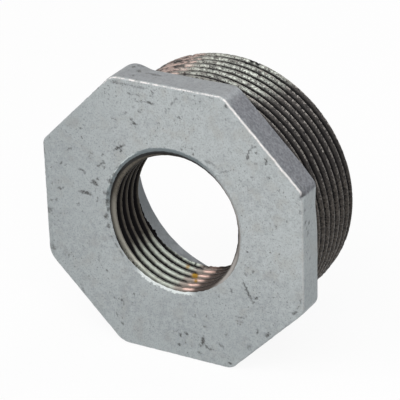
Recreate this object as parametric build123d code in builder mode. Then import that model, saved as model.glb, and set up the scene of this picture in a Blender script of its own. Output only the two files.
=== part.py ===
from build123d import *
from math import radians, tan
import os

# Reducing bushing, 2 in outside thread to 1 in inside thread, cast in one piece with an octagonal head.
# Lengths are in mm. The thread axis is Y: the head's front face is at Y = 0 and the bushing screws
# into its fitting towards +Y. Z is up and the head's lowest flat is level.

# Both threads are British Standard Pipe, 11 to the inch, right-handed. Each ridge is turned here as a
# closed ring of the true pitch and flank angle.
thread_pitch = 25.4 / 11
thread_angle = 55.0

# Head
across_flats = 64.0
head_thickness = 7.0
corner_radius = 3.2
front_edge_chamfer = 0.7
back_edge_chamfer = 0.4
# the octagon was cast a little off the thread axis, to the left and up
head_shift_x = -0.3
head_shift_z = 0.35

# Threaded shank
overall_length = 29.0
shank_root_radius = 28.2
shank_thread_depth = 1.4
shank_end_chamfer = 1.2
shank_root_chamfer = 0.8
shank_turns = 8

# Tapped bore through the solid front of the casting
bore_crest_radius = 15.2
bore_thread_depth = 1.4
bore_depth = 13.5
mouth_chamfer = 1.4
bore_end_chamfer = 0.8
bore_turns = 5

# Cored recess behind the bore, as wide as the wall under the outside thread allows
wall_under_thread = 3.2
recess_floor_chamfer = 1.3
recess_rim_chamfer = 1.35

# Share of a groove's depth by which its cut starts clear of the crests
groove_overcut = 0.2

# Worked out from the sizes above
shank_crest_radius = shank_root_radius + shank_thread_depth
bore_root_radius = bore_crest_radius + bore_thread_depth
recess_radius = shank_root_radius - wall_under_thread


def turn_thread(crest_radius, root_radius, first_groove, turns):
    """Cut V grooves a pitch apart, from just clear of the crests down to the root."""
    clearance = groove_overcut * (crest_radius - root_radius)
    half_width = abs(crest_radius + clearance - root_radius) * tan(radians(thread_angle / 2))
    with BuildSketch(Plane.YZ) as grooves:
        with Locations(*[(first_groove + turn * thread_pitch, crest_radius) for turn in range(turns)]):
            Polygon(
                (-half_width, clearance),
                (half_width, clearance),
                (0, root_radius - crest_radius),
                align=None,
            )
    revolve(grooves.sketch, axis=Axis.Y, mode=Mode.SUBTRACT)


with BuildPart() as bushing:
    # octagonal head, with rounded corners and broken edges
    with BuildSketch(Plane.XZ):
        with Locations((head_shift_x, head_shift_z)):
            RegularPolygon(across_flats / 2, side_count=8, major_radius=False, rotation=22.5)
        fillet(vertices(), corner_radius)
    extrude(amount=-head_thickness)
    chamfer(bushing.faces().sort_by(Axis.Y)[0].edges(), front_edge_chamfer)
    chamfer(bushing.faces().sort_by(Axis.Y)[-1].edges(), back_edge_chamfer)

    # blank of the threaded shank, broadened where it meets the head and chamfered at its end
    with BuildSketch(Plane.YZ):
        with BuildLine():
            Polyline(
                (head_thickness, 0),
                (head_thickness, shank_crest_radius + shank_root_chamfer),
                (head_thickness + shank_root_chamfer, shank_crest_radius),
                (overall_length - shank_end_chamfer, shank_crest_radius),
                (overall_length, shank_crest_radius - shank_end_chamfer),
                (overall_length, 0),
                close=True,
            )
        make_face()
    revolve(axis=Axis.Y)

    # tapping hole with its countersunk mouth, which breaks out into the cored recess. The recess is
    # coned at its floor and chamfered at its rim
    with BuildSketch(Plane.YZ):
        with BuildLine():
            Polyline(
                (0, 0),
                (0, bore_crest_radius + mouth_chamfer),
                (mouth_chamfer, bore_crest_radius),
                (bore_depth - bore_end_chamfer, bore_crest_radius),
                (bore_depth, bore_crest_radius + bore_end_chamfer),
                (bore_depth, recess_radius - recess_floor_chamfer),
                (bore_depth + recess_floor_chamfer, recess_radius),
                (overall_length - recess_rim_chamfer, recess_radius),
                (overall_length, recess_radius + recess_rim_chamfer),
                (overall_length, 0),
                close=True,
            )
        make_face()
    revolve(axis=Axis.Y, mode=Mode.SUBTRACT)

    # outside thread, counted from the rear end, and inside thread, counted from the mouth
    shank_first_groove = overall_length - shank_turns * thread_pitch
    turn_thread(shank_crest_radius, shank_root_radius, shank_first_groove, shank_turns)
    bore_first_groove = mouth_chamfer + thread_pitch / 2
    turn_thread(bore_crest_radius, bore_root_radius, bore_first_groove, bore_turns)

bushing.part.label = "bushing"
os.makedirs("parts", exist_ok=True)
export_step(bushing.part, "parts/bushing.step")
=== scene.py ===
import math

import bmesh
import bpy
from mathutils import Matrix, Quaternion, Vector, noise


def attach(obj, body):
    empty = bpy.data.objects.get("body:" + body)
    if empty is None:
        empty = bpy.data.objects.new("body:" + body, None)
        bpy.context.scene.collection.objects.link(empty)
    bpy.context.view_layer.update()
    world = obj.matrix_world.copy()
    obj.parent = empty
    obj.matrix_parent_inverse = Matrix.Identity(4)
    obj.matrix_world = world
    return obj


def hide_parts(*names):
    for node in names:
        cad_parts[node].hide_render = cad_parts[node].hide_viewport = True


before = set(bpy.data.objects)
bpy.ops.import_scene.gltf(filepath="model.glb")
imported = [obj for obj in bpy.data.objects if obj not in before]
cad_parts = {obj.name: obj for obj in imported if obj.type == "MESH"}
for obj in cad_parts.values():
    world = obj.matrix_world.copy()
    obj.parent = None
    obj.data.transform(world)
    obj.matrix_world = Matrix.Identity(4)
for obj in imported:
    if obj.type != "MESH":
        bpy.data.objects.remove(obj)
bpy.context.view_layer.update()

# All sizes are in millimetres. The frame's origin is on the thread axis at the
# head's front face: x runs right, y from the face towards the thread's end, z up.
# Angles are about that axis, from +x towards +z.
MM = 0.001

# Both threads are Whitworth in form, 11 to the inch and right-handed.
PITCH = 25.4 / 11
FLANK = math.radians(27.5)           # between a flank and a plane square to the axis
THREAD_DEPTH = 0.6403 * PITCH
THREAD_TIP = 0.1373 * PITCH          # rounding of a crest or a root
# places of a ridge's rows of points, along the axis from its crest
THREAD_ROWS = (-1.02, -0.87, -0.58, -0.28, -0.14, 0.0, 0.14, 0.28, 0.58, 0.87, 1.02, PITCH / 2)

LENGTH = 29.0
HEAD_BACK = 7.0                      # the head's thickness
FRONT_ROUND = 0.55
BACK_ROUND = 0.45
# distance from the axis to each flat of the head, from +x round through +z
FLATS = (31.6, 32.3, 32.38, 32.6, 32.0, 32.2, 31.6, 32.1)
# rounding of the corner after each of those flats
CORNERS = (1.6, 3.4, 4.0, 2.2, 4.5, 4.5, 3.4, 3.0)
FLOOR = -31.62                       # the floor under the lowest flat

SHANK_CREST = 29.55                  # radius at the crests
SHANK_CREST_AT = 15.44 + PITCH / 2   # a crest's place along the axis at angle 0
SHANK_CHAMFER = 1.2                  # at the shank's end
RUN_OUT = (7.0, 8.6)                 # the grooves deepen from nothing between these two

BORE_CREST = 15.2
BORE_CREST_AT = 2.41 + PITCH / 2
BORE_DEEPEST = 1.36                  # its roots are flattened at this depth
BORE_END = 13.2                      # where the bore's thread runs out
MOUTH = 16.45                        # radius of the countersunk mouth
MOUTH_OFF = Vector((0.6, 1.2))       # and how far its middle is off the axis, in x and z
SEAM = 18.2                          # where the face's skin passes to the bore's
WEB_BACK = 13.5                      # the recess's floor, behind the bore
RECESS = 25.0                        # radius of the recess
RECESS_FILLET = 1.3
RIM_CHAMFER = 1.35                   # at the recess's open end

SKIN_FOOT = 27.0                     # where the head's back ends, hidden by the shank's thread

# steps round the axis in each piece's skin
OUTER_STEPS = 720
INNER_STEPS = 560


def smooth(low, high, value):
    """0 below low and 1 above high, with a smooth step between."""
    t = min(max((value - low) / (high - low), 0.0), 1.0)
    return t * t * (3 - 2 * t)


def near(angle, middle, reach):
    """1 at an angle given in degrees, falling to 0 at reach degrees to either side."""
    away = abs((math.degrees(angle) - middle + 180) % 360 - 180)
    return 1 - smooth(0.0, reach, away)


def grain(angle, along, size, seed, radius=SHANK_CREST):
    """Noise from -1 to 1 on a wall about the axis, with cells about size across."""
    place = Vector((radius * math.cos(angle), along, radius * math.sin(angle))) / size
    return noise.noise(place + Vector((seed, 2.7 * seed, -1.3 * seed)))


def thread_drop(offset):
    """Depth of a Whitworth thread below its crest, offset along the axis from a crest."""
    u = abs((offset + PITCH / 2) % PITCH - PITCH / 2)
    arc = THREAD_TIP * math.cos(FLANK)
    if u < arc:
        return THREAD_TIP - math.sqrt(THREAD_TIP ** 2 - u ** 2)
    if u > PITCH / 2 - arc:
        return THREAD_DEPTH - THREAD_TIP + math.sqrt(THREAD_TIP ** 2 - (PITCH / 2 - u) ** 2)
    return THREAD_TIP * (1 - math.sin(FLANK)) + (u - arc) / math.tan(FLANK)


def thread_rows(crest_at, low, high):
    """Rows that follow the helix, each a function of the angle giving the place along the axis."""
    rows = []
    for turn in range(int((low - crest_at) // PITCH) - 1, int((high - crest_at) // PITCH) + 3):
        for step in THREAD_ROWS:
            start = crest_at + turn * PITCH + step
            rows.append(lambda a, s=start: min(max(s - PITCH * a / math.tau, low), high))
    return rows


def on_circle(degrees):
    """Sine and cosine of an angle in degrees."""
    return math.sin(math.radians(degrees)), math.cos(math.radians(degrees))


def flat_normal(k):
    """Direction from the axis to flat k of the head, in x and z."""
    return Vector((math.cos(k * math.pi / 4), math.sin(k * math.pi / 4)))


def corner_centre(k, inset):
    """Centre of the rounding between flat k and the next one, in x and z."""
    a = FLATS[k % 8] - inset - CORNERS[k % 8]
    b = FLATS[(k + 1) % 8] - inset - CORNERS[k % 8]
    na, nb = flat_normal(k), flat_normal(k + 1)
    det = na.x * nb.y - na.y * nb.x
    return Vector(((a * nb.y - b * na.y) / det, (na.x * b - nb.x * a) / det))


def octagon(angle, inset=0.0):
    """Distance from the axis to the head's outline, whose corners are rounded."""
    here = Vector((math.cos(angle), math.sin(angle)))
    k = math.floor(angle / (math.pi / 4)) % 8
    straight = min((FLATS[j % 8] - inset) / max(flat_normal(j).dot(here), 0.5) for j in (k, k + 1))
    centre, radius = corner_centre(k, inset), CORNERS[k]
    along = centre.dot(here)
    across = centre.length_squared - along ** 2
    if across >= radius ** 2:
        return straight
    rounded = along + math.sqrt(radius ** 2 - across)
    edge = here * rounded - centre
    between = (flat_normal(k) + flat_normal(k + 1)).normalized()
    if edge.normalized().dot(between) > math.cos(math.radians(22.5)):
        return rounded
    return straight


def ring_piece(name, bands, steps):
    """A closed skin round the axis. Each band is a material and its rows, and each row gives
    (radius, along) at an angle; a face takes the material of the row it starts from."""
    mesh = bpy.data.meshes.new(name)
    bm = bmesh.new()
    grid, skins = [], []
    for skin, (material, rows) in enumerate(bands):
        mesh.materials.append(material)
        for row in rows:
            ring = []
            for i in range(steps + 1):
                angle = math.tau * i / steps
                radius, along = row(angle)
                ring.append(bm.verts.new((radius * math.cos(angle) * MM, along * MM,
                                          radius * math.sin(angle) * MM)))
            grid.append(ring)
            skins.append(skin)
    for j, here in enumerate(grid):
        there = grid[(j + 1) % len(grid)]
        for i in range(steps):
            face = bm.faces.new((here[i], here[i + 1], there[i + 1], there[i]))
            face.material_index = skins[j]
            face.smooth = True
    bmesh.ops.remove_doubles(bm, verts=bm.verts, dist=1e-7)
    bmesh.ops.dissolve_degenerate(bm, edges=bm.edges, dist=1e-7)
    bmesh.ops.recalc_face_normals(bm, faces=bm.faces)
    for edge in bm.edges:
        edge.smooth = not edge.is_manifold or edge.calc_face_angle() < math.radians(50)
    bm.to_mesh(mesh)
    bm.free()
    piece = bpy.data.objects.new(name, mesh)
    bpy.context.scene.collection.objects.link(piece)
    return piece


# ------------------------------------------------------------- painted marks

# Dark marks on the face: place across and up, length, width, tilt and strength
MARKS = (
    (-21.5, 3.5, 3.0, 0.75, -2, 1.1), (-18.9, 6.4, 1.7, 0.9, -30, 1.0),
    (-18.2, 7.5, 0.9, 0.5, 60, 0.9), (-19.8, 6.2, 0.6, 0.5, 0, 0.8),
    (-12.2, 16.1, 2.7, 0.65, 32, 1.1), (-11.8, 15.4, 0.9, 0.5, 80, 0.9),
    (-17.1, 11.1, 1.3, 0.5, 50, 0.9), (-16.4, 11.8, 0.9, 0.45, -50, 0.9),
    (-17.8, 10.6, 0.6, 0.5, 0, 0.8), (-16.3, 10.6, 0.6, 0.45, 30, 0.7),
    (-16.6, 13.5, 0.7, 0.45, 40, 0.6), (-13.6, 15.2, 0.6, 0.4, 60, 0.5),
    (-19.9, 12.5, 1.2, 0.4, 85, 0.5), (-19.4, 13.3, 0.8, 0.4, -10, 0.5),
    (-25.4, 12.8, 0.8, 0.45, 60, 0.8), (-24.8, 13.4, 0.7, 0.4, 40, 0.8),
    (-27.3, 9.6, 0.9, 0.45, 60, 0.8), (-26.2, 9.2, 0.8, 0.4, 30, 0.8),
    (-28.8, 9.3, 0.5, 0.45, 0, 0.6), (-22.0, 8.8, 1.0, 0.5, -5, 0.8),
    (-21.4, 8.3, 0.7, 0.4, 60, 0.7), (-22.7, 8.9, 0.8, 0.4, 85, 0.6),
    (-28.1, 3.2, 1.1, 0.5, -10, 0.8), (-27.2, 3.5, 0.6, 0.4, 50, 0.6),
    (-18.8, 4.7, 0.9, 0.45, 70, 0.5), (-18.4, 2.9, 0.7, 0.4, 50, 0.6),
    (-18.6, 2.1, 0.5, 0.45, 0, 0.6), (-31.7, 11.3, 1.1, 0.6, 85, 1.0),
    (-31.6, 13.4, 0.5, 0.45, 0, 0.8), (-30.4, -0.1, 1.0, 0.45, 10, 0.6),
    (-29.2, 0.2, 0.8, 0.45, 70, 0.6), (-23.4, 0.4, 0.9, 0.5, 60, 0.7),
    (-24.2, -1.0, 0.6, 0.4, 0, 0.5), (-22.5, -1.1, 0.6, 0.4, 50, 0.5),
    (-17.2, 28.8, 0.9, 0.5, 45, 0.8), (-12.7, 31.0, 1.5, 0.6, 8, 0.8),
    (-9.4, 31.0, 8.6, 0.5, -1, 0.45), (-6.2, 30.9, 2.4, 0.5, 3, 0.5),
    (-9.2, 29.0, 1.0, 0.45, -10, 0.7), (-7.2, 29.1, 2.8, 0.35, 2, 0.4),
    (-4.1, 27.8, 1.5, 0.5, -12, 1.0), (-6.3, 27.7, 3.0, 0.35, 6, 0.4),
    (-3.5, 30.3, 0.9, 0.45, -60, 0.7), (-2.9, 31.0, 0.8, 0.4, 20, 0.6),
    (-3.6, 29.4, 0.6, 0.5, 0, 0.7), (-6.8, 25.5, 0.6, 0.5, 30, 0.8), (-8.2, 26.1, 0.5, 0.4, 0, 0.6),
    (-10.2, 24.4, 0.8, 0.4, 20, 0.6), (-8.3, 22.4, 1.2, 0.45, -8, 1.0),
    (-8.8, 23.1, 0.7, 0.4, 60, 0.8), (-9.1, 22.2, 0.6, 0.4, 0, 0.6),
    (-8.0, 21.7, 0.5, 0.4, 30, 0.6), (-13.3, 22.4, 1.3, 0.4, -12, 0.6),
    (-2.9, 20.4, 0.9, 0.4, 30, 0.5), (-13.0, 20.4, 0.6, 0.4, 0, 0.5),
    (-21.8, 18.6, 0.6, 0.5, 0, 0.7), (-20.8, 19.6, 0.5, 0.4, 0, 0.5),
    (1.4, 28.9, 2.2, 0.4, 55, 0.7), (2.3, 29.9, 0.9, 0.4, 20, 0.5), (2.9, 25.8, 0.7, 0.5, -50, 0.8),
    (-0.3, 26.8, 0.9, 0.4, 85, 0.6), (0.6, 27.3, 0.5, 0.4, 0, 0.6),
    (14.2, 30.4, 0.9, 0.6, -45, 0.9), (10.8, 31.6, 1.1, 0.4, 0, 0.8),
    (18.9, 19.9, 1.3, 0.5, 80, 0.9), (19.3, 21.2, 1.6, 0.4, 65, 0.9),
    (20.4, 22.4, 1.5, 0.4, 25, 0.7), (21.0, 21.2, 0.6, 0.45, 30, 0.9),
    (23.2, 19.7, 1.4, 0.5, 82, 1.1), (20.9, 18.9, 0.7, 0.45, 20, 0.7),
    (23.8, 16.2, 1.0, 0.5, -10, 0.8), (19.8, 15.6, 0.9, 0.4, -5, 0.6),
    (13.2, 15.4, 2.6, 0.4, 20, 0.5), (10.0, 16.8, 2.8, 0.5, -15, 0.45),
    (5.9, 18.0, 0.7, 0.45, 0, 0.7), (3.2, 18.6, 0.6, 0.4, 0, 0.6), (5.6, 19.3, 0.5, 0.4, 30, 0.6),
    (24.4, 12.5, 0.7, 0.4, 40, 0.5), (31.0, 9.9, 0.9, 0.5, 85, 0.7),
    (25.2, 5.4, 0.7, 0.45, -50, 0.8), (27.8, 7.0, 0.5, 0.4, 0, 0.7),
    (-31.4, -2.7, 2.2, 1.0, 25, 0.6), (-30.9, -11.7, 1.6, 1.1, -50, 0.6),
    (-26.7, -12.8, 1.0, 0.4, 75, 0.6), (-16.9, -14.4, 0.6, 0.5, 0, 0.8),
    (-18.9, -11.9, 2.2, 0.4, 88, 0.4), (-13.6, -21.0, 0.9, 0.5, -10, 0.9),
    (-12.9, -21.8, 0.7, 0.45, 40, 0.8), (-14.9, -24.9, 1.1, 0.45, -50, 0.7),
    (-13.5, -27.0, 0.9, 0.5, -20, 0.7), (-10.1, -18.8, 0.6, 0.5, 0, 0.9),
    (-23.4, -20.9, 1.2, 0.45, -60, 0.6), (-24.0, -19.6, 0.6, 0.4, 0, 0.5),
    (18.3, -11.6, 4.6, 0.5, -64, 0.9), (19.6, -13.8, 0.8, 0.4, 10, 0.7),
    (20.3, -12.6, 1.0, 0.5, 32, 1.0), (14.3, -12.2, 1.1, 0.45, -85, 0.8),
    (18.4, -2.1, 0.6, 0.5, 50, 0.9), (17.9, -7.5, 0.9, 0.4, -60, 0.6),
    (19.6, -6.5, 0.8, 0.45, 60, 0.7), (16.5, -18.2, 1.8, 0.45, 5, 0.5),
    (16.4, -19.2, 1.5, 0.45, 0, 0.35), (6.9, -26.2, 2.1, 0.8, 82, 1.1),
    (6.2, -27.5, 0.8, 0.6, 0, 0.9), (7.7, -27.4, 1.0, 0.6, -40, 0.9),
    (8.6, -27.9, 0.8, 0.6, 40, 0.8), (9.5, -27.8, 0.5, 0.5, 0, 0.6),
    (6.0, -29.5, 1.3, 0.6, -10, 0.6), (2.7, -25.4, 0.8, 0.6, -20, 1.0),
    (1.3, -26.1, 0.9, 0.6, 60, 1.0), (0.8, -28.7, 0.8, 0.6, 20, 1.0),
    (7.4, -22.6, 0.8, 0.4, 0, 0.6), (12.7, -23.2, 0.9, 0.4, 80, 0.6),
    (11.4, -26.3, 1.6, 0.4, -40, 0.7), (13.4, -30.2, 0.9, 0.5, 10, 1.0),
    (22.9, -20.8, 1.5, 0.8, 50, 1.1), (20.4, -20.8, 1.2, 0.45, 80, 0.8),
    (18.3, -24.9, 1.4, 0.9, 45, 0.5), (29.3, -14.0, 1.3, 0.6, 45, 0.9),
    (30.3, -12.3, 0.7, 0.5, 60, 0.8), (30.8, -10.8, 1.2, 0.45, 85, 0.6),
    (4.8, -20.7, 1.0, 0.4, 30, 0.5), (9.6, -19.4, 0.9, 0.4, -60, 0.5),
    # oily grime close to the bore's left edge
    (-14.9, 7.8, 1.6, 0.9, 60, 0.9), (-14.6, 6.4, 1.5, 0.8, 80, 0.9),
    (-16.1, 4.5, 1.6, 1.0, 10, 0.7), (-15.9, 2.4, 1.6, 0.9, 85, 0.9),
    (-15.8, 0.6, 1.0, 0.7, 80, 0.9), (-16.4, -1.1, 1.2, 0.9, 60, 1.1),
    (-15.9, -3.3, 1.1, 0.8, 80, 1.0), (-15.1, -5.6, 1.1, 0.7, 75, 0.8),
    (-14.2, -7.6, 1.2, 0.6, -70, 0.7), (-13.0, -9.4, 1.2, 0.6, -60, 0.7),
    (-13.9, 9.4, 1.4, 0.6, 55, 0.8), (-12.6, 11.6, 1.8, 0.4, 50, 0.6),
)
# and on the head's flats: place across the flat and back from the face, then as above
FLAT_MARKS = {
    90: (
        (11.7, 6.5, 1.1, 0.6, 5, 1.0), (9.4, 4.9, 1.3, 0.8, 20, 1.1), (9.3, 2.2, 0.7, 0.5, 60, 0.9),
        (5.6, 4.6, 3.4, 0.7, 4, 0.7), (7.3, 4.4, 1.2, 0.5, 0, 0.6), (10.6, 7.4, 2.2, 0.5, -10, 0.7),
    ),
    45: (
        (-9.8, 2.9, 0.8, 0.5, 30, 0.7), (-9.1, 2.4, 0.6, 0.5, 0, 0.6),
        (-12.9, 0.9, 1.3, 0.9, 0, 0.9), (-12.2, 3.6, 0.8, 0.5, 60, 0.5),
        (-11.7, 2.0, 1.0, 0.6, 40, 0.6), (-10.5, 1.2, 1.2, 0.5, 0, 0.6),
        (-7.7, 1.4, 0.9, 0.5, -30, 0.5), (-12.8, 2.6, 0.7, 0.5, 0, 0.6),
        (-5.0, 3.4, 0.7, 0.4, 0, 0.4),
    ),
    0: (
        (9.9, 1.0, 1.1, 0.7, 80, 0.5), (7.1, 1.3, 0.6, 0.6, 0, 0.8), (6.4, 3.0, 0.9, 0.5, -40, 0.7),
        (5.6, 1.8, 0.9, 0.5, 60, 0.5), (4.2, 2.4, 1.3, 0.7, 20, 0.6),
        (-2.0, 3.1, 0.9, 0.5, 60, 0.5),
    ),
}


def paint(piece, name, value):
    """Store a value from 0 to 1 at each point, worked out from its place in millimetres."""
    layer = piece.data.attributes.new(name, "FLOAT", "POINT")
    layer.data.foreach_set("value", [value(*(vert.co / MM)) for vert in piece.data.vertices])


def stain(x, y, z):
    """How darkly the zinc is marked here; the marks have ragged outlines."""
    marks, u, v = MARKS, x, z
    if y > 0.6:
        flat = round(math.degrees(math.atan2(z, x)) / 45) * 45 % 360
        s, c = on_circle(flat)
        marks, u, v = FLAT_MARKS.get(flat, ()), z * c - x * s, y
        if x * c + z * s < 30:       # inside the head's flats
            return 0.0
    place = Vector((u, 7.0, v))
    u += 0.35 * noise.noise(place / 0.5)
    v += 0.35 * noise.noise((place + Vector((50, 0, 0))) / 0.5)
    darkest = 0.0
    for mark_u, mark_v, length, width, tilt, strength in marks:
        du, dv = u - mark_u, v - mark_v
        if abs(du) < length and abs(dv) < length:
            s, c = on_circle(tilt)
            away = math.hypot((du * c + dv * s) * 2 / length, (dv * c - du * s) * 2 / width)
            darkest = max(darkest, strength * (1 - smooth(0.6, 1.5, away)))
    return min(darkest, 1.0)


def dull(x, y, z):
    """1 on the upper right flat, whose darker tone is painted shade, ending sharply at its lower
    corner, softly at its upper.
    """
    if y < 0.25 or x < 0:
        return 0.0
    angle = math.degrees(math.atan2(z, x))
    ragged = 0.6 * noise.noise(Vector((x, y, z)) / 0.9)
    across = smooth(22.2, 23.2, angle + ragged) * (1 - smooth(63.0, 70.0, angle))
    return across * smooth(0.25, 0.6, y)


def front_edge(x, y, z):
    """1 along the middle of the head's rounded front edge; it wanders at the upper right."""
    inside = octagon(math.atan2(z, x) % math.tau) - 0.1 - math.hypot(x, z)
    if inside > 1.5 or y > 1.0:
        return 0.0
    place = Vector((x, 3.0, z))
    upper_right = smooth(-0.5, 1.0, x + z - 44)
    wide = 0.34 + 0.12 * upper_right + 0.1 * noise.noise(place / 0.8)
    wander = 0.18 * noise.noise(place / 1.1) * upper_right
    return 1 - smooth(0.05, wide, abs(inside - y + 0.05 + wander))


# ------------------------------------------------------------------ the head

def edge_wobble(angle, along):
    """The cast edge's unevenness, with the corner beside the right flat chipped away."""
    rough = 0.10 * grain(angle, along, 2.2, 3) + 0.06 * grain(angle, along, 0.7, 5)
    chip = 0.8 * near(angle, 23.0, 2.5) * (1 - smooth(0.6, 1.8, along))
    return 0.03 + abs(rough) + chip


def head_side(angle, along, inset=0.0):
    """A point of the head's sides: uneven at the front edge, slightly wavy behind it."""
    wobble = edge_wobble(angle, along) * (1 - smooth(0.5, 1.6, along))
    wave = 0.04 + 0.04 * (1 + grain(angle, along, 5.0, 8)) * smooth(0.5, 2.0, along)
    return octagon(angle, inset) - wobble - wave, along


def head_back(angle):
    """How far back the head reaches: it swells at one upper corner and is worn at another."""
    swelling, wear = 1.8 * near(angle, 110.5, 9.5), 0.8 * near(angle, 18, 14)
    return HEAD_BACK + swelling - wear + 0.1 * grain(angle, 0, 3.0, 9)


def face_dip(radius, angle):
    """How far the cast face lies below its highest points, always 0 or more."""
    place = Vector((radius * math.cos(angle), radius * math.sin(angle), 4.0))
    return 0.05 * (1 + noise.noise(place / 7.0)) + 0.02 * (1 + noise.noise(place / 1.6))


def make_head(zinc):
    """The octagonal head, from the face's inner part out, round and back to the shank."""
    rows = []
    face_rows, side_rows = 68, 18
    for j in range(face_rows):
        def face(a, t=j / face_rows):
            radius = SEAM * (1 - t) + head_side(a, 0.0, FRONT_ROUND)[0] * t
            return radius, face_dip(radius, a)
        rows.append(face)
    for turn in range(0, 91, 10):
        s, c = on_circle(turn)

        def edge(a, s=s, c=c):
            radius, along = head_side(a, FRONT_ROUND * (1 - c), FRONT_ROUND * (1 - s))
            return radius, along + face_dip(radius, a) * (1 - s)
        rows.append(edge)
    for j in range(1, side_rows):
        rows.append(lambda a, t=j / side_rows: head_side(
            a, FRONT_ROUND + (head_back(a) - FRONT_ROUND - BACK_ROUND) * t))
    for turn in (0, 22, 45, 68, 90):
        s, c = on_circle(turn)
        rows.append(lambda a, s=s, c=c: (head_side(a, HEAD_BACK, BACK_ROUND * (1 - c))[0],
                                         head_back(a) - BACK_ROUND * (1 - s)))
    for t in (0.2, 0.5, 0.8, 1.0):
        rows.append(lambda a, t=t: (octagon(a, BACK_ROUND + 0.2) * (1 - t) + SKIN_FOOT * t,
                                    head_back(a) * (1 - t) + HEAD_BACK * t))
    # closed inside the casting, where it doesn't show
    rows.append(lambda a: (SKIN_FOOT - 1.0, HEAD_BACK - 0.5))
    rows.append(lambda a: (SEAM + 0.4, 0.6))
    return ring_piece("bushing_head", [(zinc, rows)], OUTER_STEPS)


# ------------------------------------------------------------- the inside

def mouth(angle, radius):
    """Distance from the axis to the off-centre mouth circle of this radius."""
    here = Vector((math.cos(angle), math.sin(angle)))
    along = MOUTH_OFF.dot(here)
    return along + math.sqrt(radius ** 2 - MOUTH_OFF.length_squared + along ** 2)


def lip(angle, out, along):
    """A point of the worn lip, out from the mouth's edge; ragged from the tap."""
    ragged = 0.12 * grain(angle, 0.0, 0.9, 11, MOUTH) + 0.10 * grain(angle, 0.0, 2.6, 12, MOUTH)
    radius = mouth(angle, MOUTH + out + ragged)
    return radius, along + face_dip(radius, angle) * smooth(0.0, 0.6, out)


def bore_point(angle, along):
    """A point of the bore: its thread, torn and burred at its inner end, and the mouth's cone."""
    drop = thread_drop(along - BORE_CREST_AT + PITCH * angle / math.tau)
    radius = BORE_CREST + min(drop, BORE_DEEPEST)
    crest = 1 - smooth(0.0, 0.5, drop)
    radius += 0.10 * crest * max(0.0, grain(angle, along, 0.9, 14, BORE_CREST))
    torn = smooth(BORE_END - 0.5, BORE_END, along)
    ragged = 1 - near(angle, 305, 50)
    radius += torn * (0.2 + 0.25 * ragged * grain(angle, along, 0.8, 15, BORE_CREST))
    burr = 1.0 * near(angle, 219, 3.5) + 0.4 * near(angle, 213, 4) + 0.3
    burr *= 0.7 + 0.7 * ragged * grain(angle, 0.0, 0.5, 17, BORE_CREST)
    cone = mouth(angle, MOUTH) - along - 0.1 + 0.08 * grain(angle, along, 0.8, 16, MOUTH)
    return max(radius, cone), along + max(burr, 0.0) * smooth(BORE_END - 0.7, BORE_END, along)


def make_bore(zinc, cut_iron):
    """The face round the bore, the bore's thread, and the cored recess behind it."""
    def inner_face(angle, t):
        radius = SEAM * (1 - t) + lip(angle, 0.35, 0.0)[0] * t
        return radius, face_dip(radius, angle)

    face = [lambda a, t=t: inner_face(a, t) for t in (0.0, 0.16, 0.33, 0.5, 0.66, 0.83)]
    face += [lambda a, o=o, y=y: lip(a, o, y) for o, y in ((0.35, 0.0), (0.2, 0.02), (0.08, 0.1))]
    thread = [lambda a, r=row: bore_point(a, r(a))
              for row in thread_rows(BORE_CREST_AT, 0.25, BORE_END)]
    web_radii = (16.6, 19.0, 21.0, RECESS - RECESS_FILLET)
    recess = [lambda a, r=radius: (r, WEB_BACK) for radius in web_radii]
    for turn in (30, 60, 90):
        s, c = on_circle(turn)
        recess.append(lambda a, s=s, c=c: (RECESS - RECESS_FILLET * (1 - s),
                                           WEB_BACK + RECESS_FILLET * (1 - c)))
    wall_start, wall_rows = WEB_BACK + RECESS_FILLET, 23
    for j in range(1, wall_rows + 1):
        along = wall_start + (LENGTH - RIM_CHAMFER - wall_start) * j / wall_rows
        recess.append(lambda a, y=along: (RECESS - 0.08 + 0.08 * grain(a, y, 3.0, 21), y))
    # closed inside the casting, where it doesn't show
    recess += [lambda a: (RECESS + 0.7, LENGTH - RIM_CHAMFER - 0.2), lambda a: (RECESS + 0.7, 15.0),
               lambda a: (SEAM + 0.3, 12.0), lambda a: (SEAM + 0.2, 0.6)]
    bands = [(zinc, face), (cut_iron, thread), (zinc, recess)]
    return ring_piece("bushing_bore", bands, INNER_STEPS)


# ------------------------------------------------------------- the shank

def shank_point(angle, along):
    """A point of the shank: its thread, with pitted crests, running out at the head."""
    drop = thread_drop(along - SHANK_CREST_AT + PITCH * angle / math.tau)
    crest = 1 - smooth(0.0, 0.5, drop)
    drop *= smooth(*RUN_OUT, along)
    pits = max(0.0, grain(angle, along, 0.55, 31) - 0.15)
    pits += 1.2 * max(0.0, grain(angle, along, 1.4, 32) - 0.3)
    drop += crest * (0.03 + 0.28 * pits)
    end_cone = SHANK_CREST - SHANK_CHAMFER + (LENGTH - along)
    return min(SHANK_CREST - drop, end_cone), along


def make_shank(cut_iron):
    """The threaded shank, its rear end and the rim of the recess."""
    rows = [lambda a: (SKIN_FOOT - 0.5, HEAD_BACK - 0.6)]        # inside the head
    rows += [lambda a, r=row: shank_point(a, r(a))
             for row in thread_rows(SHANK_CREST_AT, HEAD_BACK - 0.3, LENGTH)]
    for t in (0.5, 1.0):
        rows.append(lambda a, t=t: (
            shank_point(a, LENGTH)[0] * (1 - t) + (RECESS + RIM_CHAMFER) * t, LENGTH))
    rows += [lambda a: (RECESS + RIM_CHAMFER / 2, LENGTH - RIM_CHAMFER / 2),
             lambda a: (RECESS, LENGTH - RIM_CHAMFER), lambda a: (RECESS + 0.02, LENGTH - 1.8),
             lambda a: (RECESS + 0.6, LENGTH - 2.2)]
    return ring_piece("bushing_shank", [(cut_iron, rows)], OUTER_STEPS)


# ------------------------------------------------------------- materials

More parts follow.
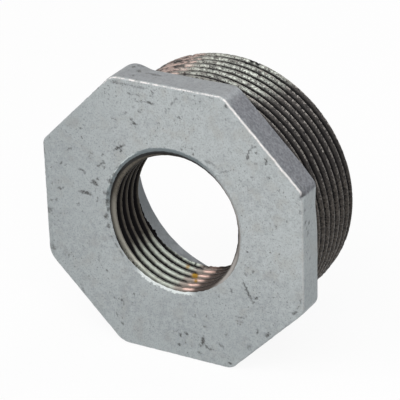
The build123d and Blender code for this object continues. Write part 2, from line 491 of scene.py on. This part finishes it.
class Surface:
    """A material's node tree, built up from small steps that all work in millimetres."""

    def __init__(self, name):
        self.material = bpy.data.materials.new(name)
        self.material.use_nodes = True
        self.tree = self.material.node_tree
        self.shader = self.tree.nodes["Principled BSDF"]
        place = self.node("ShaderNodeTexCoord").outputs["Object"]
        self.place = self.vector("SCALE", place, scale=1 / MM)
        self.x, self.y, self.z = self.node("ShaderNodeSeparateXYZ", {0: self.place}).outputs

    def node(self, kind, inputs=None, **settings):
        node = self.tree.nodes.new(kind)
        for key, value in settings.items():
            setattr(node, key, value)
        for key, value in (inputs or {}).items():
            if isinstance(value, bpy.types.NodeSocket):
                self.tree.links.new(value, node.inputs[key])
            else:
                node.inputs[key].default_value = value
        return node

    def vector(self, operation, a, b=None, scale=None):
        inputs = {0: a}
        if b is not None:
            inputs[1] = b
        if scale is not None:
            inputs["Scale"] = scale
        node = self.node("ShaderNodeVectorMath", inputs, operation=operation)
        return node.outputs["Value" if operation in ("LENGTH", "DOT_PRODUCT") else "Vector"]

    def math(self, operation, a, b=0.0):
        return self.node("ShaderNodeMath", {0: a, 1: b}, operation=operation).outputs[0]

    def plus(self, a, b):
        return self.math("ADD", a, b)

    def less(self, a, b):
        return self.math("SUBTRACT", a, b)

    def either(self, a, b):
        return self.math("MAXIMUM", a, b)

    def times(self, product, *factors):
        for factor in factors:
            product = self.math("MULTIPLY", product, factor)
        return product

    def ramp(self, value, low, high, start=0.0, end=1.0):
        """From start to end as the value goes from low to high, smoothly; low may be the larger."""
        return self.node("ShaderNodeMapRange", {"Value": value, "From Min": low, "From Max": high,
                                                "To Min": start, "To Max": end},
                         interpolation_type="SMOOTHSTEP").outputs[0]

    def noise(self, size, detail=3.0, rough=0.55, seed=0.0, at=None):
        moved = self.vector("ADD", at or self.place, (seed, -2.3 * seed, 1.7 * seed))
        return self.node("ShaderNodeTexNoise", {"Vector": moved, "Scale": 1 / size,
                                                "Detail": detail, "Roughness": rough}).outputs[0]

    def mix(self, share, a, b):
        node = self.node("ShaderNodeMix", {0: share}, data_type="RGBA")
        for socket, value in ((node.inputs[6], a), (node.inputs[7], b)):
            if isinstance(value, bpy.types.NodeSocket):
                self.tree.links.new(value, socket)
            else:
                socket.default_value = shade(value)
        return node.outputs[2]

    def tint(self, colour, tone, *shares):
        """The colour with a tone laid over it, as thickly as the product of the shares."""
        return self.mix(self.times(*shares), colour, tone)

    def off_axis(self, place):
        """A place with its part along the axis taken out."""
        return self.vector("MULTIPLY", place, (1, 0, 1))

    def radius(self):
        return self.vector("LENGTH", self.off_axis(self.place))

    def turn(self, angle):
        """Cosine of the angle between this point and one given in degrees, about the axis."""
        s, c = on_circle(angle)
        flat = self.vector("NORMALIZE", self.off_axis(self.place))
        return self.vector("DOT_PRODUCT", flat, (c, 0.0, s))

    def sector(self, middle, inner, outer):
        """1 within inner degrees of an angle, falling to 0 at outer degrees."""
        low, high = (math.cos(math.radians(edge)) for edge in (outer, inner))
        return self.ramp(self.turn(middle), low, high)

    def facing(self, angle):
        """Cosine of the angle between the surface's normal and a direction square to the axis."""
        s, c = on_circle(angle)
        normal = self.node("ShaderNodeTexCoord").outputs["Normal"]
        return self.vector("DOT_PRODUCT", normal, (c, 0.0, s))

    def spot(self, angle, radius, along, size, uneven):
        """1 within a ragged spot about a point at an angle, a radius and a place along the axis."""
        s, c = on_circle(angle)
        off = self.vector("SUBTRACT", self.place, (radius * c, along, radius * s))
        off = self.vector("LENGTH", off)
        return self.ramp(self.plus(off, self.times(uneven, 0.8)), size + 0.7, size)

    def painted(self, name):
        """A value that paint stored on the mesh."""
        return self.node("ShaderNodeAttribute", attribute_name=name).outputs["Fac"]

    def finish(self, colour, roughness, height, depth, metallic):
        """Join the inputs to the shader; depth is the bump's, in millimetres."""
        links = self.tree.links
        links.new(colour, self.shader.inputs["Base Color"])
        links.new(roughness, self.shader.inputs["Roughness"])
        bump = self.node("ShaderNodeBump",
                         {"Height": height, "Strength": 1.0, "Distance": depth * MM})
        links.new(bump.outputs[0], self.shader.inputs["Normal"])
        self.shader.inputs["Metallic"].default_value = metallic
        return self.material


def shade(colour):
    """A colour written as three values from 0 to 255, as on a screen."""
    return tuple((c / 255) ** 2.2 for c in colour) + (1.0,)


# --------------------------------------------------------------- the zinc coat

def zinc_ground(s, mottle, fine):
    """Cloudy grey with painted shade that darkens it to the left and low down, and dark specks
    crowded in places.
    """
    colour = s.mix(s.ramp(s.noise(9.0, 3.0, 0.5, 1), 0.35, 0.65), (152, 157, 159), (169, 175, 176))
    colour = s.mix(s.ramp(mottle, 0.32, 0.68, 0.0, 0.75), (177, 183, 184), colour)
    colour = s.tint(colour, (122, 125, 126), s.ramp(fine, 0.45, 0.75, 0.0, 0.6))
    warm = s.ramp(s.noise(3.5, 3.0, 0.6, 11), 0.5, 0.68, 0.0, 0.35)
    colour = s.tint(colour, (156, 155, 150), warm)
    # painted shade: darker towards the left and the bottom
    shade_lower_left = s.either(s.ramp(s.x, 0, -30, 0.02, 0.34), s.ramp(s.z, 2, -26, 0.02, 0.3))
    colour = s.tint(colour, (118, 126, 129), shade_lower_left)
    crowd = s.ramp(s.noise(6.0, 2.0, 0.5, 4), 0.4, 0.65, 0.25, 1.0)
    speck = s.ramp(s.noise(0.55, 2.5, 0.6, 5), 0.60, 0.70)
    return s.tint(colour, (92, 92, 90), speck, crowd, 0.8)


def shaded_zinc_flats(s, colour):
    """Painted shade: the upper and right flats are painted darker than the face, and the one
    between them darkest.
    """
    behind_face = s.ramp(s.y, 0.35, 0.8)
    # painted shade on the upper and right flats
    for angle, tone, amount in ((90, (114, 114, 118), 0.55), (0, (136, 143, 146), 0.45)):
        colour = s.tint(colour, tone, behind_face, s.ramp(s.facing(angle), 0.74, 0.98), amount)
    # painted shade: a darker violet-grey grain on the upper right flat
    shaded_violet = s.mix(s.ramp(s.noise(0.6, 4.0, 0.7, 7), 0.36, 0.64), (80, 82, 89), (117, 118, 124))
    return s.tint(colour, shaded_violet, s.painted("dull"), 0.88)


def worn_edge_highlight(s, colour):
    """A bright line along the front edge, partly worn zinc and partly painted highlight: broken at
    the top, fuller at the upper right, faint on the right."""
    edge = s.painted("edge")
    broken = s.ramp(s.noise(0.7, 3.0, 0.7, 6), 0.42, 0.6, 0.1, 1.0)
    bright = s.either(s.times(s.sector(70, 46.5, 48.5), broken),
                      s.times(s.sector(45, 21, 22.5), 0.65))
    # worn zinc with a painted highlight along the front edge
    colour = s.tint(colour, (234, 229, 227), edge, bright)
    # a faint painted highlight along the right edge
    return s.tint(colour, (190, 185, 182), edge, s.sector(0, 20, 24), 0.3)


def zinc_lip(s, colour):
    """Round the bore: a torn bright zinc edge below with a painted highlight; above, a blue-grey
    band of painted shade on the rounding, with a pale painted highlight as its outline.
    """
    off = s.vector("SUBTRACT", s.place, (MOUTH_OFF.x, 0, MOUTH_OFF.y))
    rim = s.vector("LENGTH", s.off_axis(off))
    torn = s.times(s.less(s.noise(0.7, 3.0, 0.6, 8), 0.5), 2.2)
    lit_fringe = s.ramp(s.plus(rim, torn), MOUTH + 0.95, MOUTH + 0.6)
    # painted highlight on the torn zinc below the bore
    colour = s.tint(colour, (220, 226, 225), lit_fringe, s.sector(261, 20, 30))
    rim = s.plus(rim, s.times(torn, 0.3))
    # painted shade on the rounding above the bore
    band = s.ramp(rim, MOUTH + 0.6, MOUTH + 0.4)
    colour = s.tint(colour, (108, 117, 120), band, s.sector(115, 45, 70))
    outline = s.ramp(rim, MOUTH + 0.15, MOUTH + 0.3)
    # painted highlight as a pale outline above the bore
    return s.tint(colour, (190, 198, 198), band, outline, s.sector(138, 14, 24))


def make_zinc():
    """Matt hot-dip zinc: mottled, specked and stained, worn at its edges, with painted highlights
    there and round the bore, and painted shade on its flats, round the bore, low on the left and in
    the recess.
    """
    s = Surface("zinc_coat")
    mottle = s.noise(1.2, 4.0, 0.62, 2)
    fine = s.noise(0.4, 2.0, 0.6, 3)
    colour = zinc_ground(s, mottle, fine)
    colour = shaded_zinc_flats(s, colour)
    colour = worn_edge_highlight(s, colour)
    colour = zinc_lip(s, colour)
    stained = s.painted("stain")
    colour = s.tint(colour, (62, 62, 61), stained, s.ramp(fine, 0.32, 0.56, 0.42, 0.95))
    # painted shade: the recess behind the bore is darker and bluer
    recess = s.times(s.ramp(s.radius(), RECESS + 1.2, RECESS + 0.6), s.ramp(s.y, 12.0, 13.0))
    colour = s.tint(colour, (104, 108, 113), recess, 0.6)

    rough = s.ramp(mottle, 0.3, 0.7, 0.5, 0.62)
    height = s.plus(s.times(mottle, 0.7), s.times(fine, 0.3))
    height = s.less(height, s.times(stained, 0.8))
    return s.finish(colour, rough, height, 0.07, metallic=0.25)


# ----------------------------------------------------------------- the cut iron

class CutThread(Surface):
    """Bare cut iron, scored by the tool. Its depth is 0 at a crest and 1 at a root, and uneven is
    that depth with ragged contours, for the edges of dirt and painted shade, and of painted shine."""

    def __init__(self, name, crest, outward, raggedness):
        super().__init__(name)
        self.depth = self.times(self.less(self.radius(), crest), -outward / THREAD_DEPTH)
        drawn_out = self.vector("MULTIPLY", self.place, (1.0, 0.3, 1.0))
        self.scored = self.noise(0.42, 3.0, 0.65, 9, at=drawn_out)
        self.fine = self.noise(0.5, 3.0, 0.65, 10)
        self.patch = self.noise(1.6, 3.0, 0.6, 12)
        self.uneven = self.plus(self.depth, self.times(self.less(self.scored, 0.5), raggedness))

    def finish_cut(self, colour, dirt_and_shade, shiny, dull, depth, metallic):
        """Finish with a roughness from shiny to dull, and rougher where dirt and painted shade lie.
        """
        rough = self.plus(self.ramp(self.fine, 0.3, 0.7, shiny, dull), self.times(dirt_and_shade, 0.25))
        height = self.plus(self.times(self.scored, 0.5), self.times(self.fine, 0.5))
        return self.finish(colour, rough, height, depth, metallic)


def bore_dirt_and_shade(s, low):
    """Dirt and painted shade fill the valleys. They leave more bare in the low part, at the lower
    right and near the mouth, whose cone is clean except at the upper left."""
    bare = s.plus(s.times(low, 0.33), 0.14)
    bare = s.plus(bare, s.times(s.sector(291, 16, 24), 0.5))
    bare = s.plus(bare, s.ramp(s.y, 4.0, 1.8, 0.0, 0.5))
    dirt_and_shade = s.ramp(s.less(s.uneven, bare), -0.22, 0.16)
    clean_cone = s.times(s.ramp(s.y, 1.25, 1.0), s.sector(275, 55, 85), 0.85)
    return s.times(dirt_and_shade, s.less(1.0, clean_cone))


def bore_mouth(s, colour, dirt_and_shade):
    """The countersink and the first ridge: grimy on the left, pale on the right."""
    colour = s.tint(colour, (84, 84, 84), s.ramp(s.y, 1.1, 0.9, 0.0, 0.6))
    first_ridge = s.times(s.ramp(s.y, 3.4, 2.6), s.sector(202, 22, 40))
    colour = s.tint(colour, (146, 143, 134), first_ridge, 0.65, s.less(1.0, dirt_and_shade))
    grime = s.ramp(s.plus(s.y, s.times(s.scored, 1.5)), 2.4, 2.0)
    colour = s.tint(colour, (30, 28, 27), grime, s.sector(186, 42, 56), 0.85)
    right_lip = s.times(s.ramp(s.y, 1.25, 1.0), s.sector(358, 35, 60))
    colour = s.tint(colour, (186, 181, 177), right_lip, 0.8)
    tool_line = s.ramp(s.math("ABSOLUTE", s.less(s.y, 0.95)), 0.28, 0.12)
    return s.tint(colour, (38, 36, 36), tool_line, s.sector(258, 30, 42))


def make_inside():
    """The bore's thread: paler and greenish low down on the left, a painted reflection of the
    overhead lamp, browner at the lower right with a painted highlight on its crests.
    """
    s = CutThread("cut_iron_inside", BORE_CREST, outward=-1, raggedness=0.28)
    low = s.sector(247, 16, 36)
    colour = s.mix(s.ramp(s.scored, 0.3, 0.7), (80, 76, 70), (104, 99, 90))
    # painted reflection: the overhead lamp seen low on the left of the bore
    colour = s.tint(colour, (134, 139, 131), low, s.ramp(s.patch, 0.3, 0.6, 0.5, 1.0))
    colour = s.tint(colour, (112, 101, 96), s.sector(278, 8, 14), 0.7)
    # painted highlight: pink glints on the crests low down
    crest_highlight = s.times(s.sector(281, 2, 7), s.ramp(s.depth, 0.45, 0.15))
    colour = s.tint(colour, (206, 176, 166), crest_highlight, 0.7)
    colour = s.tint(colour, (66, 58, 56), s.sector(300, 10, 18), 0.8)
    dirt_and_shade = bore_dirt_and_shade(s, low)
    # dirt and painted shade darken the bore's valleys
    colour = s.tint(colour, (22, 20, 22), dirt_and_shade)
    colour = bore_mouth(s, colour, dirt_and_shade)
    # three spots of rust on the crests
    for angle, along, size in ((260.3, 11.2, 0.6), (272.0, 8.4, 0.8), (277.7, 6.2, 0.5)):
        rust = s.spot(angle, BORE_CREST + 0.4, along, size, s.fine)
        colour = s.tint(colour, (122, 94, 34), rust)
    return s.finish_cut(colour, dirt_and_shade, 0.3, 0.4, 0.02, metallic=0.85)


def rosy_sheen_on_metal(s, colour, sector):
    """Bare metal at the upper left with a painted rosy sheen, the reflection of a warm lamp,
    streaked round the axis.
    """
    ring = s.vector("SCALE", s.vector("NORMALIZE", s.off_axis(s.place)), scale=9.0)
    squeezed = s.vector("ADD", ring, s.vector("MULTIPLY", s.place, (0, 3, 0)))
    streaks = s.noise(1.0, 3.0, 0.6, 14, at=squeezed)
    # painted reflection of a warm lamp
    return s.tint(colour, (164, 146, 139), sector, s.ramp(streaks, 0.42, 0.6),
                  s.ramp(s.depth, 0.7, 0.3))


def zinc_and_reflection_on_crests(s, colour, uneven):
    """Zinc left on the crests near the top, together with the overhead lamp's reflection painted
    there, less of it close to the head.
    """
    there = s.times(s.sector(82, 9, 26), s.ramp(uneven, 0.5, 0.3),
                    s.ramp(s.y, 10.0, 18.0, 0.12, 1.0))
    left = s.ramp(s.plus(s.scored, s.times(s.patch, 0.5)), 0.58, 0.92)
    # pale zinc and a painted reflection on the crests
    return s.tint(colour, (164, 168, 160), there, left)


def make_outside():
    """The shank's thread: dark, with crests painted lighter as highlights, a painted rosy sheen and
    reflection at the top, and rough and olive low on the right.
    """
    s = CutThread("cut_iron_outside", SHANK_CREST, outward=1, raggedness=0.6)
    roughest, rosy_sheen = s.sector(352, 16, 30), s.sector(111, 8, 13)
    uneven = s.plus(s.uneven, s.times(roughest, s.less(s.scored, 0.5)))
    colour = s.mix(s.ramp(s.scored, 0.3, 0.7), (38, 36, 36), (60, 57, 55))
    # painted highlight: the crests lighter, most towards the top
    crest = s.times(s.ramp(uneven, 0.12, 0.0), s.ramp(s.turn(80), 0.2, 0.9, 0.4, 0.9))
    colour = s.tint(colour, (136, 131, 126), crest)
    colour = s.tint(colour, (84, 79, 73), roughest, s.ramp(s.fine, 0.4, 0.55), 0.6)
    colour = rosy_sheen_on_metal(s, colour, rosy_sheen)
    colour = zinc_and_reflection_on_crests(s, colour, uneven)

    # the cut end and the rim inside it are clean
    end_face = s.either(s.ramp(s.y, LENGTH - 0.35, LENGTH - 0.1), s.ramp(s.radius(), 27.9, 27.5))
    dirt_and_shade = s.times(s.ramp(uneven, 0.3, 0.62), s.less(1.0, end_face))
    # dirt and painted shade darken the shank's valleys
    colour = s.tint(colour, (16, 15, 16), dirt_and_shade)
    colour = s.tint(colour, (112, 107, 102), end_face, 0.8)
    pit = s.times(s.ramp(s.noise(0.6, 2.0, 0.6, 13), 0.56, 0.64), s.ramp(uneven, 0.6, 0.3))
    colour = s.tint(colour, (24, 24, 26), pit, s.less(1.0, rosy_sheen), 0.55)
    # two dents in the last crest, their shade painted black
    for angle in (79.4, 76.6):
        dent_shade = s.spot(angle, SHANK_CREST, 27.3, 0.7, s.fine)
        colour = s.tint(colour, (14, 14, 15), dent_shade)
    return s.finish_cut(colour, dirt_and_shade, 0.3, 0.45, 0.08, metallic=0.75)


# ------------------------------------------------------------- the studio

WORLD_LIGHT = 0.3                    # the even light on surfaces
FLOOR_WHITE = 0.92                   # how much of the floor is plain white where it is seen
FLOOR_REACH = 3.0                    # metres from the axis, past the edge of any view


def seen_directly(nodes, links):
    """1 for rays from the camera and for reflections, 0 for the light that falls on surfaces."""
    path = nodes.new("ShaderNodeLightPath")
    seen = nodes.new("ShaderNodeMath")
    seen.operation = "MAXIMUM"
    links.new(path.outputs["Is Camera Ray"], seen.inputs[0])
    links.new(path.outputs["Is Glossy Ray"], seen.inputs[1])
    either = nodes.new("ShaderNodeMath")
    either.operation = "MAXIMUM"
    links.new(seen.outputs[0], either.inputs[0])
    links.new(path.outputs["Is Transmission Ray"], either.inputs[1])
    return either.outputs[0]


def add_world():
    """White where it is seen, and a weak even light."""
    world = bpy.data.worlds.new("studio")
    world.use_nodes = True
    nodes, links = world.node_tree.nodes, world.node_tree.links
    strength = nodes.new("ShaderNodeMapRange")
    strength.inputs["To Min"].default_value = WORLD_LIGHT
    strength.inputs["To Max"].default_value = 1.0
    links.new(seen_directly(nodes, links), strength.inputs["Value"])
    nodes["Background"].inputs["Color"].default_value = (1, 1, 1, 1)
    links.new(strength.outputs[0], nodes["Background"].inputs["Strength"])
    bpy.context.scene.world = world


def add_floor():
    """The white ground under the bushing, which keeps a trace of its shadow."""
    mesh = bpy.data.meshes.new("floor")
    corners = ((-1, -1), (1, -1), (1, 1), (-1, 1))
    mesh.from_pydata([(x * FLOOR_REACH, y * FLOOR_REACH, 0) for x, y in corners],
                     [], [(0, 1, 2, 3)])
    floor = bpy.data.objects.new("floor", mesh)
    floor.location.z = FLOOR * MM
    bpy.context.scene.collection.objects.link(floor)
    material = bpy.data.materials.new("floor_white")
    material.use_nodes = True
    nodes, links = material.node_tree.nodes, material.node_tree.links
    nodes["Principled BSDF"].inputs["Base Color"].default_value = (0.9, 0.9, 0.9, 1)
    nodes["Principled BSDF"].inputs["Roughness"].default_value = 0.9
    share = nodes.new("ShaderNodeMath")
    share.operation = "MULTIPLY"
    share.inputs[1].default_value = FLOOR_WHITE
    links.new(seen_directly(nodes, links), share.inputs[0])
    white = nodes.new("ShaderNodeEmission")
    mix = nodes.new("ShaderNodeMixShader")
    links.new(share.outputs[0], mix.inputs[0])
    links.new(nodes["Principled BSDF"].outputs[0], mix.inputs[1])
    links.new(white.outputs[0], mix.inputs[2])
    links.new(mix.outputs[0], nodes["Material Output"].inputs[0])
    mesh.materials.append(material)


def add_lamp(name, place, size, power, colour=(1, 1, 1), aim=(0.0, 10.0, 0.0)):
    """A soft lamp; its place, width and height are in millimetres and its power in watts."""
    light = bpy.data.lights.new(name, "AREA")
    light.shape = "RECTANGLE"
    light.size, light.size_y = (side * MM for side in size)
    light.energy = power
    light.color = colour
    lamp = bpy.data.objects.new(name, light)
    lamp.location = Vector(place) * MM
    lamp.rotation_euler = (Vector(aim) - Vector(place)).to_track_quat("-Z", "Y").to_euler()
    bpy.context.scene.collection.objects.link(lamp)


def add_camera():
    """A long lens, high and to the right of the face, held a little out of level."""
    place = Vector((220.9, -366.6, 209.0))
    aim = Vector((4.27, 5.19, 4.92))
    data = bpy.data.cameras.new("camera")
    data.sensor_width = 36.0
    data.lens = 200.7
    data.clip_start = 0.01
    camera = bpy.data.objects.new("camera", data)
    camera.location = place * MM
    camera.rotation_mode = "QUATERNION"
    level = (aim - place).to_track_quat("-Z", "Y")
    camera.rotation_quaternion = level @ Quaternion((0, 0, 1), math.radians(-1.81))
    bpy.context.scene.collection.objects.link(camera)
    bpy.context.scene.camera = camera


zinc = make_zinc()
pieces = (make_head(zinc),
          make_bore(zinc, make_inside()),
          make_shank(make_outside()))
for piece in pieces[:2]:
    paint(piece, "stain", stain)
    paint(piece, "edge", front_edge)
    # where shade is painted on the upper right flat
    paint(piece, "dull", dull)
for piece in pieces:
    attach(piece, "root")
    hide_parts("bushing")

add_floor()
# the wide overhead lamp is what the bare iron reflects
add_lamp("overhead", (36, -504, 620), (1080, 560), 5.3)
add_lamp("warm", (-520, -400, 440), (130, 130), 0.5, (1.0, 0.87, 0.82))
add_lamp("right", (560, -350, 210), (120, 120), 0.35)
add_lamp("back", (100, 500, 400), (300, 300), 1.0)
add_camera()

add_world()
bpy.context.scene.view_settings.view_transform = "Standard"
